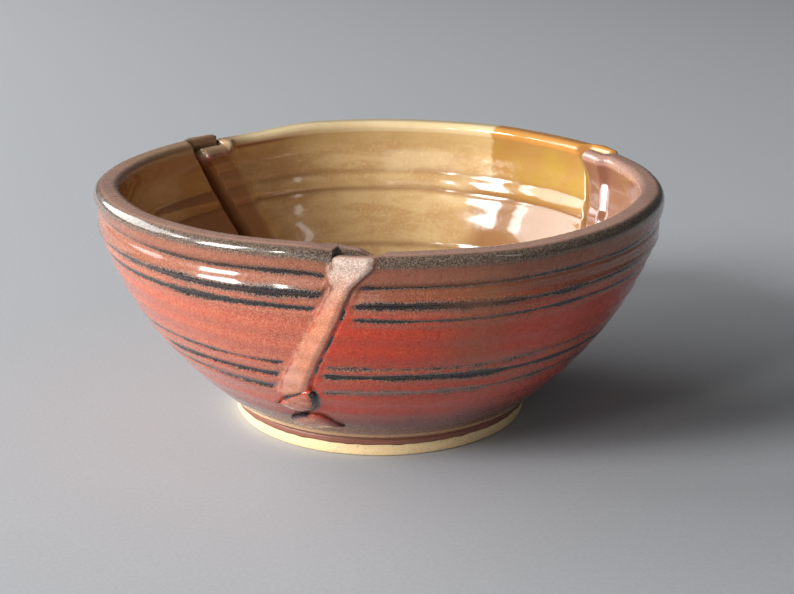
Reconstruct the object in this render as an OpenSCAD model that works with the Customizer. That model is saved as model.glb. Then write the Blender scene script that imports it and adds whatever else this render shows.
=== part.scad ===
// Lapped-wall shaving bowl: a wheel-thrown stoneware bowl whose wall is cut into three leaves and
// drawn together again, each leaf lapped outside the end of its neighbour over a layer of slip.
// Units are millimetres. +Z is up, the foot rests on Z = 0, the wheel axis is the Z axis, and the
// front seam faces -Y.

/* [Whole bowl] */

// Outer radius of the rim, midway along a leaf
rim_radius = 70.5; // [60:0.5:85]
// Height of the rim above the table
bowl_height = 60; // [50:0.5:72]
// How much the upper wall still opens outward at the rim
rim_flare = 1.6; // [0:0.1:4]

/* [Wall] */

// Thickness of a leaf measured level, halfway up
wall_thickness = 5.2; // [4:0.1:6.5]
// Thickness of the flattened rim, with its inward lip
rim_thickness = 6.6; // [6.5:0.1:8]
// Thickness of the wall measured level, at the base dish
wall_root_thickness = 7.6; // [6.6:0.1:9]
// Depth below the rim at which the lip starts to swell
lip_depth = 9; // [6:0.5:12]
// Radius of the rounding on the rim edges
rim_round = 1.7; // [1:0.1:2]

/* [Lapped seams] */

// Place of the front seam at the rim, in degrees round from the front toward the right
front_seam = -4; // [-10:1:10]
// Place of the back right seam at the rim
back_right_seam = 117; // [110:1:130]
// Place of the back left seam at the rim
back_left_seam = 229; // [225:1:240]
// How far each seam leans round the bowl between the base dish and the rim, in degrees
seam_lean = 19; // [8:1:26]
// Width of a lap at its foot
lap_width_foot = 6.8; // [5.5:0.1:9]
// Width of a lap at the rim
lap_width_rim = 10; // [8:0.1:13]
// Share of the wall thickness that is left where a leaf is pressed into a lap
lap_squeeze = 0.76; // [0.65:0.01:0.9]
// Thickness of the slip that holds a lap together
slip_thickness = 0.4; // [0.2:0.05:0.8]
// Length over which a wiped edge tapers at the end of a leaf
edge_taper = 1.8; // [1:0.1:2.4]
// Thickness left at the wiped edge on the outside of a lap
edge_thickness = 1; // [0.6:0.1:1.6]
// Length over which a leaf steps from its own line into the lap
step_length = 3; // [2:0.1:5]
// Height over which a lap grows from a flush half-lap to full thickness
lap_growth = 14; // [8:0.5:20]
// How far the front seam is drawn inward at the rim
front_draw = 1.4; // [0:0.1:3]
// How far the back right seam is drawn inward at the rim
back_right_draw = 0.5; // [0:0.1:3]
// How far the back left seam is drawn inward at the rim
back_left_draw = 2.6; // [0:0.1:3.5]
// Arc on each side of a seam over which the wall is drawn inward, in degrees
draw_spread = 50; // [30:1:55]

/* [Throwing grooves] */

// Depth of a throwing groove
groove_depth = 0.8; // [0.2:0.1:1.2]
// Width of a throwing groove
groove_width = 1.9; // [1:0.1:2.2]
// Height of the lowest groove above the base dish
lower_groove_rise = 15.6; // [15.6:0.1:17]
// Step up from the lowest groove to the next
lower_groove_gap = 3.9; // [2.6:0.1:4.2]
// Step up to the top groove of the lower three
lower_pair_gap = 2.8; // [2.6:0.1:3.4]
// Depth of the highest groove below the rim
upper_groove_drop = 7.2; // [6:0.1:8]
// Step down from the highest groove to the next
upper_groove_gap = 4; // [2.6:0.1:4.4]
// Step down to the bottom groove of the upper three
upper_pair_gap = 3.5; // [2.6:0.1:3.8]

/* [Tuck tabs] */

// Thickness of a folded tuck tab at its middle
tuck_thickness = 1.5; // [0.8:0.1:2.4]
// Thickness of a tuck tab at its edge
tuck_edge = 0.3; // [0.2:0.05:0.6]
// Height of the lower tuck's foot above the base dish
lower_tuck_rise = 0.6; // [0.4:0.1:0.8]
// Height of the lower tuck
lower_tuck_height = 5; // [4:0.1:5.4]
// Clear wall left between the two tucks
tuck_space = 0.8; // [0.6:0.1:1.2]
// Height of the upper tuck
upper_tuck_height = 7; // [5:0.1:7]

/* [Foot and floor] */

// Outer radius of the foot ring
foot_radius = 37.4; // [30:0.1:46]
// Width of the foot ring
foot_width = 6.4; // [4:0.1:10]
// How far the wall stands out over the foot ring where it leaves it
waist_step = 1.6; // [0.4:0.1:3]
// Height of the foot ring
foot_height = 5.5; // [5:0.1:7]
// How far the middle of the floor is let down into the foot ring
floor_sink = 1.5; // [0.5:0.1:3]
// Thickness of the floor at the middle
floor_thickness = 4; // [3:0.1:4.6]
// Height from the foot ring to where the three cuts stop
dish_rise = 3.5; // [3.5:0.1:6]
// Chamfer on the resting edges of the foot
foot_chamfer = 0.6; // [0.3:0.1:1]
// Height of the bare clay left below the glaze on the foot
bare_band = 2.1; // [1:0.1:3]
// Thickness of the glaze on the foot
glaze_thickness = 0.5; // [0.3:0.05:0.8]
// How far the lower edge of the glaze stands proud of the bare clay
glaze_roll = 0.2; // [0.1:0.05:0.3]

/* [Display] */

// Sub-part to draw: "all" or one name from the list

/* [Hidden] */

clay_color = [0.80, 0.68, 0.54];
glaze_color = [0.66, 0.30, 0.20];
rim_glaze_color = [0.45, 0.33, 0.28];
slip_color = [0.60, 0.50, 0.42];

$fn = 96;
tiny = 0.01;
full_turn = 360;
front_angle = -90;

// ---- wall lines ----------------------------------------------------------------------------

dish_height = foot_height + dish_rise;
leaf_height = bowl_height - dish_height;
waist_radius = foot_radius + waist_step;
foot_inner_radius = foot_radius - foot_width;
wall_drop = rim_radius - waist_radius - rim_flare;

// Smooth step from 0 to 1 as x runs from 0 to 1
function ease(x) = let (c = min(max(x, 0), 1)) c * c * (3 - 2 * c);

// Share of the height between the foot and the rim
function rise(z) = (z - foot_height) / (bowl_height - foot_height);

// Outer radius of the plain wall at height z
function outer_line(z) =
    rim_radius - rim_flare * (1 - rise(z)) - wall_drop * pow(1 - rise(z), 2);

// Level thickness of the plain wall at height z
function thickness(z) =
    wall_thickness
    + (wall_root_thickness - wall_thickness) * pow(1 - rise(z), 2)
    + (rim_thickness - wall_thickness) * ease((z - bowl_height + lip_depth) / lip_depth);

// Radius of the middle of the plain wall
function middle_line(z) = outer_line(z) - thickness(z) / 2;

// ---- seams ---------------------------------------------------------------------------------

// Seams in order round the bowl; leaf k starts at seam k and ends at seam k + 1
seam_angle = [front_seam, back_right_seam, back_left_seam, front_seam + full_turn];
seam_draw = [front_draw, back_right_draw, back_left_draw, front_draw];

// Angle of seam k at height z
function seam_at(k, z) =
    front_angle + seam_angle[k] - seam_lean * (1 - (z - dish_height) / leaf_height);

// Width of a lap at height z
function lap_width(z) =
    lap_width_foot + (lap_width_rim - lap_width_foot) * (z - dish_height) / leaf_height;

// Thickness of one leaf inside a lap: a half-lap at the base dish, fuller above
function lap_thickness(z) =
    let (half = (thickness(z) - slip_thickness) / 2,
         full = lap_squeeze * thickness(z))
    half + (full - half) * ease((z - dish_height) / lap_growth);

// Shortest turn between two angles
function turn(a) = a - full_turn * round(a / full_turn);

// Inward draw of seam k felt at angle a and height z
function draw_of(k, a, z) =
    let (x = min(abs(turn(a - seam_at(k, z))) / draw_spread, 1))
    seam_draw[k] * (1 + cos(180 * x)) / 2 * ease((z - dish_height) / leaf_height);

// Radius of the middle of the drawn wall
function drawn_middle(a, z) =
    middle_line(z) - draw_of(0, a, z) - draw_of(1, a, z) - draw_of(2, a, z);

// Angle covered by a length measured round the wall at height z
function arc(length, z) = length / middle_line(z) * 180 / PI;

// ---- stations round a leaf -----------------------------------------------------------------
// A leaf is lofted through stations numbered from its outer lap round to its inner lap.
// The first four cross its outer lap and the last four its inner lap; at each seam the four
// of one leaf stand at the same angles as the four of the other, so the faces match.

lap_end = 3;
free_steps = 15;
free_first = lap_end + 1;
free_last = free_first + free_steps;
inner_lap = free_last + 1;
last_station = inner_lap + lap_end;

// Angles of the four stations across the lap of seam k at height z
function lap_angles(k, z) =
    let (w = lap_width(z), edge = seam_at(k, z) - arc(w / 2, z))
    [edge, edge + arc(edge_taper, z), edge + arc(w - edge_taper, z), edge + arc(w, z)];

// Angle of station s of leaf k at height z
function station_angle(k, s, z) =
    let (outer = lap_angles(k, z),
         inner = lap_angles(k + 1, z),
         from = outer[lap_end] + arc(step_length, z),
         to = inner[0] - arc(step_length, z))
    s <= lap_end ? outer[s] :
    s >= inner_lap ? inner[s - inner_lap] :
    from + (to - from) * (s - free_first) / free_steps;

// Share of a lap's thickness left at the tapered end of a leaf inside the bowl
end_share = 0.45;

// Radius of the middle of the slip at lap station i; the leaf outside it tapers to a thin edge
// that ends flush with the leaf inside it
function slip_line(m, i, z) =
    i == 0 ? m + (thickness(z) - slip_thickness) / 2 - edge_thickness : m;

// Outer radius of leaf k at station s and height z, before the grooves
function leaf_outer(k, s, z) =
    let (m = drawn_middle(station_angle(k, s, z), z))
    s == 0 || (s >= free_first && s <= free_last) ? m + thickness(z) / 2 :
    s <= lap_end ? m + slip_thickness / 2 + lap_thickness(z) :
    slip_line(m, s - inner_lap, z) - slip_thickness / 2;

// Inner radius of leaf k at station s and height z
function leaf_inner(k, s, z) =
    let (m = drawn_middle(station_angle(k, s, z), z))
    s <= lap_end ? slip_line(m, s, z) + slip_thickness / 2 :
    s <= free_last ? m - thickness(z) / 2 :
    s < last_station ? m - slip_thickness / 2 - lap_thickness(z) :
    m - slip_thickness / 2 - end_share * lap_thickness(z);

// ---- levels up a leaf ----------------------------------------------------------------------

low_groove = dish_height + lower_groove_rise;
high_groove = bowl_height - upper_groove_drop;
groove_middles = [
    low_groove,
    low_groove + lower_groove_gap,
    low_groove + lower_groove_gap + lower_pair_gap,
    high_groove - upper_groove_gap - upper_pair_gap,
    high_groove - upper_groove_gap,
    high_groove];
top_level = bowl_height - rim_round;
lower_tuck_foot = dish_height + lower_tuck_rise;
lower_tuck_top = lower_tuck_foot + lower_tuck_height;
upper_tuck_foot = lower_tuck_top + tuck_space;
upper_tuck_top = upper_tuck_foot + upper_tuck_height;

// Evenly spaced levels from foot to top in n steps, both ends included
function steps(foot, top, n) = [for (i = [0 : n]) foot + (top - foot) * i / n];

tuck_steps = 3;
belly_steps = 4;
lower_tuck_levels = steps(lower_tuck_foot, lower_tuck_top, tuck_steps);
upper_tuck_levels = steps(upper_tuck_foot, upper_tuck_top, tuck_steps);
belly_levels = steps(groove_middles[2], groove_middles[3], belly_steps);

// Levels that every leaf shares with the slip and the tucks that lie on it
levels = concat(
    [dish_height],
    lower_tuck_levels,
    upper_tuck_levels,
    [for (i = [0 : 2]) each groove_levels(groove_middles[i])],
    [for (i = [1 : belly_steps - 1]) belly_levels[i]],
    [for (i = [3 : 5]) each groove_levels(groove_middles[i])],
    [(high_groove + groove_width / 2 + top_level) / 2, top_level]);

function groove_levels(g) = [g - groove_width / 2, g, g + groove_width / 2];

function in_groove(z) = len([for (g = groove_middles) if (abs(z - g) < tiny) g]) > 0;

// Depth of the grooves at station s and level z; they are wiped away inside the laps
function cut_at(s, z) = s >= free_first && s <= free_last && in_groove(z) ? groove_depth : 0;

function at(r, a, z) = [r * cos(a), r * sin(a), z];

// ---- leaf ----------------------------------------------------------------------------------

// Largest share of the rim's thickness that one rounding may take
round_limit = 0.4;

// Closed section of leaf k at station s: up the outside, over the rim, down the inside
function leaf_section(k, s) =
    let (z = top_level,
         a = station_angle(k, s, z),
         ro = leaf_outer(k, s, z),
         ri = leaf_inner(k, s, z),
         rr = min(rim_round, (ro - ri) * round_limit))
    concat(
        [for (z = levels) at(leaf_outer(k, s, z) - cut_at(s, z), station_angle(k, s, z), z)],
        [at(ro - rr * (1 - cos(45)), a, z + rim_round * sin(45)),
         at(ro - rr, a, z + rim_round),
         at(ri + rr, a, z + rim_round),
         at(ri + rr * (1 - cos(45)), a, z + rim_round * sin(45))],
        [for (i = [len(levels) - 1 : -1 : 0])
            at(leaf_inner(k, s, levels[i]), station_angle(k, s, levels[i]), levels[i])]);

// Loft a run of closed sections; each section is paired across the wall for its end caps.
// Every quad is split along the same diagonal, seen from outside, so faces that meet match.
module loft(sections) {
    n = len(sections);
    m = len(sections[0]);
    half = m / 2;
    points = [for (section = sections) each section];
    sides = [for (i = [0 : n - 2]) for (j = [0 : m - 1])
        let (a = i * m + j, b = i * m + (j + 1) % m, c = a + m, d = b + m)
        each j < half ? [[a, b, d], [a, d, c]] : [[a, b, c], [b, d, c]]];
    first_cap = [for (j = [0 : half - 2])
        let (a = j, b = j + 1, c = m - 2 - j, d = m - 1 - j)
        each [[a, c, b], [a, d, c]]];
    last = (n - 1) * m;
    last_cap = [for (face = first_cap) [last + face[0], last + face[2], last + face[1]]];
    polyhedron(points = points, faces = concat(sides, first_cap, last_cap), convexity = 8);
}

module leaf(k) {
    loft([for (s = [0 : last_station]) leaf_section(k, s)]);
}

// ---- slip ----------------------------------------------------------------------------------

// The slip fills the space between the two leaves of seam k
module slip(k) {
    loft([for (s = [0 : lap_end]) concat(
        [for (z = levels) at(leaf_inner(k, s, z), station_angle(k, s, z), z)],
        [for (i = [len(levels) - 1 : -1 : 0]) let (z = levels[i])
            at(leaf_inner(k, s, z) - slip_thickness, station_angle(k, s, z), z)])]);
}

// ---- tucks ---------------------------------------------------------------------------------

// A folded tab lying on leaf k from station s0 to s1 and over the given levels
module tuck(k, s0, s1, rows) {
    first = rows[0];
    last = rows[tuck_steps];
    function swell(s, z) =
        let (u = (s - s0) / (s1 - s0), v = (z - first) / (last - first))
        tuck_edge + (tuck_thickness - tuck_edge) * sin(180 * u) * sin(180 * v);
    loft([for (s = [s0 : s1]) concat(
        [for (z = rows) at(leaf_outer(k, s, z) + swell(s, z), station_angle(k, s, z), z)],
        [for (i = [len(rows) - 1 : -1 : 0]) let (z = rows[i])
            at(leaf_outer(k, s, z), station_angle(k, s, z), z)])]);
}

// The upper tuck closes the lap itself; the lower one is folded on past it over the free wall
module upper_tuck(k) { tuck(k, 0, lap_end, upper_tuck_levels); }

module lower_tuck(k) { tuck(k, 1, free_first + 1, lower_tuck_levels); }

// ---- foot and floor ------------------------------------------------------------------------

dish_steps = 6;
dish_inner_radius = outer_line(dish_height) - thickness(dish_height);
under_glaze_radius = foot_radius + glaze_roll - glaze_thickness;
recess_depth = foot_height - floor_sink;
floor_height = recess_depth + floor_thickness;

// The trimmed foot, bare at the bottom and rebated above for its band of glaze
module foot_ring_body() {
    rotate_extrude()
        polygon([
            [foot_inner_radius, foot_height],
            [foot_inner_radius, foot_chamfer],
            [foot_inner_radius + foot_chamfer, 0],
            [foot_radius - foot_chamfer, 0],
            [foot_radius, foot_chamfer],
            [foot_radius, bare_band],
            [under_glaze_radius, bare_band],
            [under_glaze_radius, foot_height]]);
}

// The glaze that stopped short of the resting edge and rolled over slightly
module foot_glaze_body() {
    rotate_extrude()
        polygon([
            [under_glaze_radius, bare_band],
            [foot_radius, bare_band],
            [foot_radius + glaze_roll, bare_band + glaze_roll],
            [foot_radius + glaze_roll, foot_height],
            [under_glaze_radius, foot_height]]);
}

// The uncut bottom of the bowl: floor, recess and the first rise of the wall
module base_dish_body() {
    wall = [for (i = [0 : dish_steps])
        let (z = foot_height + (dish_height - foot_height) * i / dish_steps) [outer_line(z), z]];
    floor_line = [for (i = [dish_steps : -1 : 0])
        let (u = i / dish_steps)
        [dish_inner_radius * u, floor_height + (dish_height - floor_height) * u * u * u]];
    rotate_extrude()
        polygon(concat(
            [[0, recess_depth], [foot_inner_radius, recess_depth], [foot_inner_radius, foot_height]],
            wall,
            floor_line));
}

// ---- sub-parts -----------------------------------------------------------------------------

right_leaf = 0;
back_leaf = 1;
left_leaf = 2;

module foot_ring() { color(clay_color) foot_ring_body(); }

module foot_glaze_band() { color(rim_glaze_color) foot_glaze_body(); }

module base_dish() { color(glaze_color) base_dish_body(); }

module leaf_right() { color(glaze_color) leaf(right_leaf); }

module leaf_back() { color(glaze_color) leaf(back_leaf); }

module leaf_left() { color(glaze_color) leaf(left_leaf); }

module slip_front() { color(slip_color) slip(right_leaf); }

module slip_back_right() { color(slip_color) slip(back_leaf); }

module slip_back_left() { color(slip_color) slip(left_leaf); }

module upper_tuck_front() { color(glaze_color) upper_tuck(right_leaf); }

module lower_tuck_front() { color(glaze_color) lower_tuck(right_leaf); }

module upper_tuck_back_right() { color(glaze_color) upper_tuck(back_leaf); }

module lower_tuck_back_right() { color(glaze_color) lower_tuck(back_leaf); }

module upper_tuck_back_left() { color(glaze_color) upper_tuck(left_leaf); }

module lower_tuck_back_left() { color(glaze_color) lower_tuck(left_leaf); }

foot_ring();
foot_glaze_band();
base_dish();
leaf_right();
leaf_back();
leaf_left();
slip_front();
slip_back_right();
slip_back_left();
upper_tuck_front();
lower_tuck_front();
upper_tuck_back_right();
lower_tuck_back_right();
upper_tuck_back_left();
lower_tuck_back_left();
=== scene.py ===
import bpy
import numpy as np
from mathutils import Euler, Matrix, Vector


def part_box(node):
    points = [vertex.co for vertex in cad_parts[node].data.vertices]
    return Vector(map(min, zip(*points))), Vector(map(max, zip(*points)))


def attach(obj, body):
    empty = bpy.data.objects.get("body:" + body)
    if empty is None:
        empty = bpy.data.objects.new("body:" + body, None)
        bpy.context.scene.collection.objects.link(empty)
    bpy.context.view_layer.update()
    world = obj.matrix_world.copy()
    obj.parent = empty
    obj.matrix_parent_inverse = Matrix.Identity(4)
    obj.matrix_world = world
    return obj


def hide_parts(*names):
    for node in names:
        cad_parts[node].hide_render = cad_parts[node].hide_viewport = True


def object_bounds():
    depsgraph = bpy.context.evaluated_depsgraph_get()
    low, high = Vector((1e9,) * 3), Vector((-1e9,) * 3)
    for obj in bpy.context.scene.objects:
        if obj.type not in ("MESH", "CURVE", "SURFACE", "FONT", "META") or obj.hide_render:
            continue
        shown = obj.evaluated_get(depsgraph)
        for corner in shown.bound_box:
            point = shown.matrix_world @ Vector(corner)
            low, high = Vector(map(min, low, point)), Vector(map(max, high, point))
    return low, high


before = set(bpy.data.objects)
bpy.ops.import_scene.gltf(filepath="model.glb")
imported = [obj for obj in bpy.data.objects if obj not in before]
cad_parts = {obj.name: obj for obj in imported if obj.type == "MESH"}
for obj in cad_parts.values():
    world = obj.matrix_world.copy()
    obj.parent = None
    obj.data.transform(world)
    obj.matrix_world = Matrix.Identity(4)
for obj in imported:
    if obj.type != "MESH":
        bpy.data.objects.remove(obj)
cad_low, cad_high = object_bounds()

# ---- Foot ring ---------------------------------------------------------------------------------
# The ring that the bowl stands on, trimmed on the wheel from leather-hard stoneware.
# It is left bare so that the bowl doesn't stick to the kiln shelf, and the iron in the clay
# toasts to a warm cream in the firing. The glaze begins a little way up it.

mm = 0.001
full_turn = 360
ring_low, ring_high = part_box("foot_ring")
foot_radius = ring_high.x / mm
foot_height = ring_high.z / mm
foot_width = 6.4
foot_inner_radius = foot_radius - foot_width
bare_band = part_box("foot_glaze_band")[0].z / mm
bare_line = bare_band + 1.0  # the wiped edge of the glaze stands a little above its solid
edge_wear = 0.7
round_steps = 360


def ease(x):
    """Smooth step from 0 to 1 as x runs from 0 to 1."""
    c = np.clip(x, 0.0, 1.0)
    return c * c * (3.0 - 2.0 * c)


def on_wheel(radius, bearing, height):
    """Points in the frame, from millimetres and from degrees round from the front to the right."""
    turn = np.radians(bearing)
    radius, turn, height = np.broadcast_arrays(radius, turn, height)
    return np.stack([radius * np.sin(turn), -radius * np.cos(turn), height], -1) * mm


def wander(bearing, size, seed, waves=(2, 3, 5, 8, 13)):
    """A hand-made unevenness that runs smoothly once round the bowl."""
    dice = np.random.default_rng(seed)
    total = sum(np.sin(np.radians(bearing) * n + dice.uniform(0, 2 * np.pi)) for n in waves)
    return size * total / len(waves)


def softened(corners, steps=5):
    """An outline of (radius, height, softness, raggedness) corners with each corner rounded."""
    corners = np.array(corners, float)
    points = []
    for i, corner in enumerate(corners):
        before = corners[i - 1]
        after = corners[(i + 1) % len(corners)]
        soft = corner[2]
        if soft == 0:
            points.append(corner)
            continue
        start = corner + (before - corner) * soft / np.linalg.norm((before - corner)[:2])
        end = corner + (after - corner) * soft / np.linalg.norm((after - corner)[:2])
        for t in np.linspace(0, 1, steps):
            points.append((1 - t) ** 2 * start + 2 * t * (1 - t) * corner + t * t * end)
    return np.array(points)


def skin(name, points, marks, closed):
    """A closed shell over a grid of points: columns round the bowl, rows round each section."""
    columns, rows = points.shape[:2]
    column = np.arange(columns if closed else columns - 1)[:, None]
    row = np.arange(rows)[None, :]
    here = column * rows
    there = (column + 1) % columns * rows
    above = (row + 1) % rows
    corners = [here + row, there + row, there + above, here + above]
    faces = np.stack(np.broadcast_arrays(*corners), -1).reshape(-1, 4)
    if not closed:
        pair = np.arange(rows // 2 - 1)
        cap = np.stack([pair, pair + 1, rows - 2 - pair, rows - 1 - pair], -1)
        last = (columns - 1) * rows
        faces = np.concatenate([faces, cap, last + cap[:, ::-1]])
    mesh = bpy.data.meshes.new(name)
    mesh.from_pydata(points.reshape(-1, 3).tolist(), [], faces.tolist())
    for mark_name, values in marks.items():
        held = mesh.attributes.new(mark_name, "FLOAT", "POINT")
        values = np.broadcast_to(values, (columns, rows)).astype(np.float32)
        held.data.foreach_set("value", values.ravel())
    mesh.shade_smooth()
    mesh.set_sharp_from_angle(angle=np.radians(55))
    mesh.update()
    piece = bpy.data.objects.new(name, mesh)
    bpy.context.scene.collection.objects.link(piece)
    return piece


def fitted(piece, material, slot, *nodes):
    """Gives a piece its finish and sets it on the bowl in place of its solids."""
    piece.data.materials.append(material)
    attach(piece, "root")
    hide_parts(*nodes)


def tint(red, green, blue):
    """A colour from its red, green and blue parts of 255."""
    parts = np.array([red, green, blue]) / 255
    linear = np.where(parts <= 0.04045, parts / 12.92, ((parts + 0.055) / 1.055) ** 2.4)
    return (*linear.tolist(), 1.0)


def plug(tree, value, socket):
    """Joins a value or another node's output to a socket."""
    if isinstance(value, bpy.types.NodeSocket):
        tree.links.new(value, socket)
    else:
        socket.default_value = value


def mixed(tree, amount, first, second):
    """A colour that goes from the first to the second as amount goes from 0 to 1."""
    mixer = tree.nodes.new("ShaderNodeMix")
    mixer.data_type = "RGBA"
    plug(tree, amount, mixer.inputs[0])
    plug(tree, first, mixer.inputs[6])
    plug(tree, second, mixer.inputs[7])
    return mixer.outputs[2]


def worked(tree, work, first, second):
    """One step of arithmetic on values over the surface."""
    step = tree.nodes.new("ShaderNodeMath")
    step.operation = work
    plug(tree, first, step.inputs[0])
    plug(tree, second, step.inputs[1])
    return step.outputs[0]


def times(tree, first, second):
    """The product of two values over the surface."""
    return worked(tree, "MULTIPLY", first, second)


def plus(tree, first, second):
    """The sum of two values over the surface."""
    return worked(tree, "ADD", first, second)


def between(tree, value, low, high, from_value=0.0, to_value=1.0):
    """Smoothly from one value to another as the input passes from low to high."""
    ranger = tree.nodes.new("ShaderNodeMapRange")
    ranger.interpolation_type = "SMOOTHSTEP"
    plug(tree, value, ranger.inputs["Value"])
    ranger.inputs["From Min"].default_value = low
    ranger.inputs["From Max"].default_value = high
    ranger.inputs["To Min"].default_value = from_value
    ranger.inputs["To Max"].default_value = to_value
    return ranger.outputs["Result"]


def cloud(tree, size, detail=4.0, stretch=(1.0, 1.0, 1.0), seed=0.0):
    """Soft noise from 0 to 1 with features of the given size in millimetres."""
    place = tree.nodes.new("ShaderNodeTexCoord")
    scaled = tree.nodes.new("ShaderNodeMapping")
    tree.links.new(place.outputs["Object"], scaled.inputs["Vector"])
    scaled.inputs["Scale"].default_value = stretch
    scaled.inputs["Location"].default_value = (seed, seed, seed)
    noise = tree.nodes.new("ShaderNodeTexNoise")
    noise.inputs["Scale"].default_value = 1 / (size * mm)
    noise.inputs["Detail"].default_value = detail
    noise.inputs["Roughness"].default_value = 0.6
    tree.links.new(scaled.outputs["Vector"], noise.inputs["Vector"])
    return noise.outputs["Fac"]


def height_on(tree):
    """Height above the table, in metres."""
    place = tree.nodes.new("ShaderNodeTexCoord")
    parts = tree.nodes.new("ShaderNodeSeparateXYZ")
    tree.links.new(place.outputs["Object"], parts.inputs["Vector"])
    return parts.outputs["Z"]


def bumped(tree, height, distance):
    """A surface normal with fine relief of the given depth in millimetres."""
    bump = tree.nodes.new("ShaderNodeBump")
    bump.inputs["Distance"].default_value = distance * mm
    plug(tree, height, bump.inputs["Height"])
    return bump.outputs["Normal"]


def new_finish(name):
    """A new material with its node tree and its shader."""
    material = bpy.data.materials.new(name)
    material.use_nodes = True
    tree = material.node_tree
    return material, tree, tree.nodes["Principled BSDF"]


def new_group(name, inputs, outputs):
    """A node group with named inputs and outputs; returns the tree and its two end nodes."""
    tree = bpy.data.node_groups.new(name, "ShaderNodeTree")
    for label, kind in inputs:
        tree.interface.new_socket(label, in_out="INPUT", socket_type=kind)
    for label, kind in outputs:
        tree.interface.new_socket(label, in_out="OUTPUT", socket_type=kind)
    entry = tree.nodes.new("NodeGroupInput")
    way_out = tree.nodes.new("NodeGroupOutput")
    return tree, entry, way_out


# Grog and iron specks in stoneware, seen through glaze or on the bare clay
specks, specks_in, specks_out = new_group(
    "clay_specks",
    [("Color", "NodeSocketColor"), ("Speck Color", "NodeSocketColor"), ("Amount", "NodeSocketFloat")],
    [("Color", "NodeSocketColor")],
)
speck_mask = between(specks, cloud(specks, 0.55, 2.0), 0.60, 0.72)
speck_share = times(specks, speck_mask, specks_in.outputs["Amount"])
speck_color = mixed(specks, speck_share, specks_in.outputs["Color"], specks_in.outputs["Speck Color"])
specks.links.new(speck_color, specks_out.inputs["Color"])


def with_specks(tree, color, speck_color, amount):
    """The color with clay specks of the second color over it."""
    group = tree.nodes.new("ShaderNodeGroup")
    group.node_tree = specks
    plug(tree, color, group.inputs["Color"])
    plug(tree, speck_color, group.inputs["Speck Color"])
    plug(tree, amount, group.inputs["Amount"])
    return group.outputs["Color"]


def turned(name, corners, ragged_edge=0.0, seed=1, wobble=0.12, marks=None):
    """A piece turned on the wheel, from its outline's corners."""
    outline = softened(corners)
    bearing = np.arange(round_steps)[:, None] * full_turn / round_steps
    radius = outline[None, :, 0] + wander(bearing, wobble, seed)
    fine = wander(bearing, 1.0, seed + 1, waves=(17, 29, 41, 58))
    height = outline[None, :, 1] + outline[None, :, 3] * ragged_edge * fine
    laid = marks(radius, height) if marks else {}
    return skin(name, on_wheel(radius, bearing, height), laid, closed=True)


foot_piece = turned("foot_ring_turned", [
    (foot_radius - 0.2, 0, edge_wear, 0),
    (foot_radius, bare_band, 0, 0),
    (foot_radius - 0.3, foot_height, 0, 0),
    (foot_inner_radius, foot_height, 0, 0),
    (foot_inner_radius, 0, 1.2, 0),
], seed=11)

bare_clay, tree, shader = new_finish("bare_clay")
clay_color = mixed(tree, cloud(tree, 6.0), tint(255, 216, 158), tint(255, 228, 178))
clay_color = mixed(tree, between(tree, cloud(tree, 1.2, 3.0), 0.5, 0.9), clay_color, tint(232, 196, 150))
clay_color = with_specks(tree, clay_color, tint(150, 112, 78), 0.5)
tree.links.new(clay_color, shader.inputs["Base Color"])
tree.links.new(between(tree, cloud(tree, 0.8), 0.3, 0.7, 0.72, 0.9), shader.inputs["Roughness"])
trim_lines = cloud(tree, 0.7, 2.0, stretch=(0.08, 0.08, 1.0))
tree.links.new(bumped(tree, trim_lines, 0.12), shader.inputs["Normal"])
fitted(foot_piece, bare_clay, "bare_clay", "foot_ring")

# ---- Glaze on the foot -------------------------------------------------------------------------
# The same iron glaze as the wall, wiped back from the resting edge with a sponge.
# It stops in a slightly ragged rolled line, and a fine turned line runs round it halfway up.

glaze_roll = 0.25
glaze_radius = foot_radius + glaze_roll
under_glaze_radius = foot_radius - 0.4
line_height = bare_line + 1.5
line_cut = 0.25
band_piece = turned("foot_glaze_turned", [
    (under_glaze_radius, bare_line, 0, 1),
    (glaze_radius, bare_line - 0.1, 0.3, 1),
    (glaze_radius + 0.05, bare_line + 0.7, 0.3, 0),
    (glaze_radius, line_height - 0.3, 0.15, 0),
    (glaze_radius - line_cut, line_height, 0.1, 0),
    (glaze_radius + 0.75, line_height + 0.35, 0.3, 0),
    (glaze_radius + 0.95, foot_height, 0, 0),
    (under_glaze_radius, foot_height, 0, 0),
], ragged_edge=0.16, seed=21)

foot_glaze, tree, shader = new_finish("foot_glaze")
height = height_on(tree)
thin_glaze = mixed(tree, cloud(tree, 3.0), tint(156, 100, 80), tint(134, 84, 68))
edge_line = between(tree, height, (bare_line - 0.2) * mm, (bare_line + 0.5) * mm, 1.0, 0.0)
foot_color = mixed(tree, edge_line, thin_glaze, tint(62, 38, 32))
turned_line = between(tree, height, (line_height - 0.1) * mm, (line_height + 0.5) * mm)
foot_color = mixed(tree, times(tree, turned_line, 0.55), foot_color, tint(112, 68, 58))
# Painted highlight: a lighter band along the crest above the turned line
crest_from = between(tree, height, (line_height - 0.25) * mm, line_height * mm)
crest_to = between(tree, height, (line_height + 0.15) * mm, (line_height + 0.45) * mm, 1.0, 0.0)
painted_crest_highlight = times(tree, times(tree, crest_from, crest_to), 0.7)
foot_color = mixed(tree, painted_crest_highlight, foot_color, tint(206, 150, 116))
foot_color = with_specks(tree, foot_color, tint(176, 128, 98), 0.5)
tree.links.new(foot_color, shader.inputs["Base Color"])
tree.links.new(between(tree, cloud(tree, 1.0), 0.3, 0.7, 0.28, 0.42), shader.inputs["Roughness"])
tree.links.new(bumped(tree, cloud(tree, 0.9), 0.08), shader.inputs["Normal"])
fitted(band_piece, foot_glaze, "foot_glaze", "foot_glaze_band")

# ---- Base dish ---------------------------------------------------------------------------------
# The uncut bottom of the thrown bowl: the floor, the recess under it and the first rise of the
# wall, which the three leaves grow out of. Glazed inside and out in one dipping.

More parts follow.
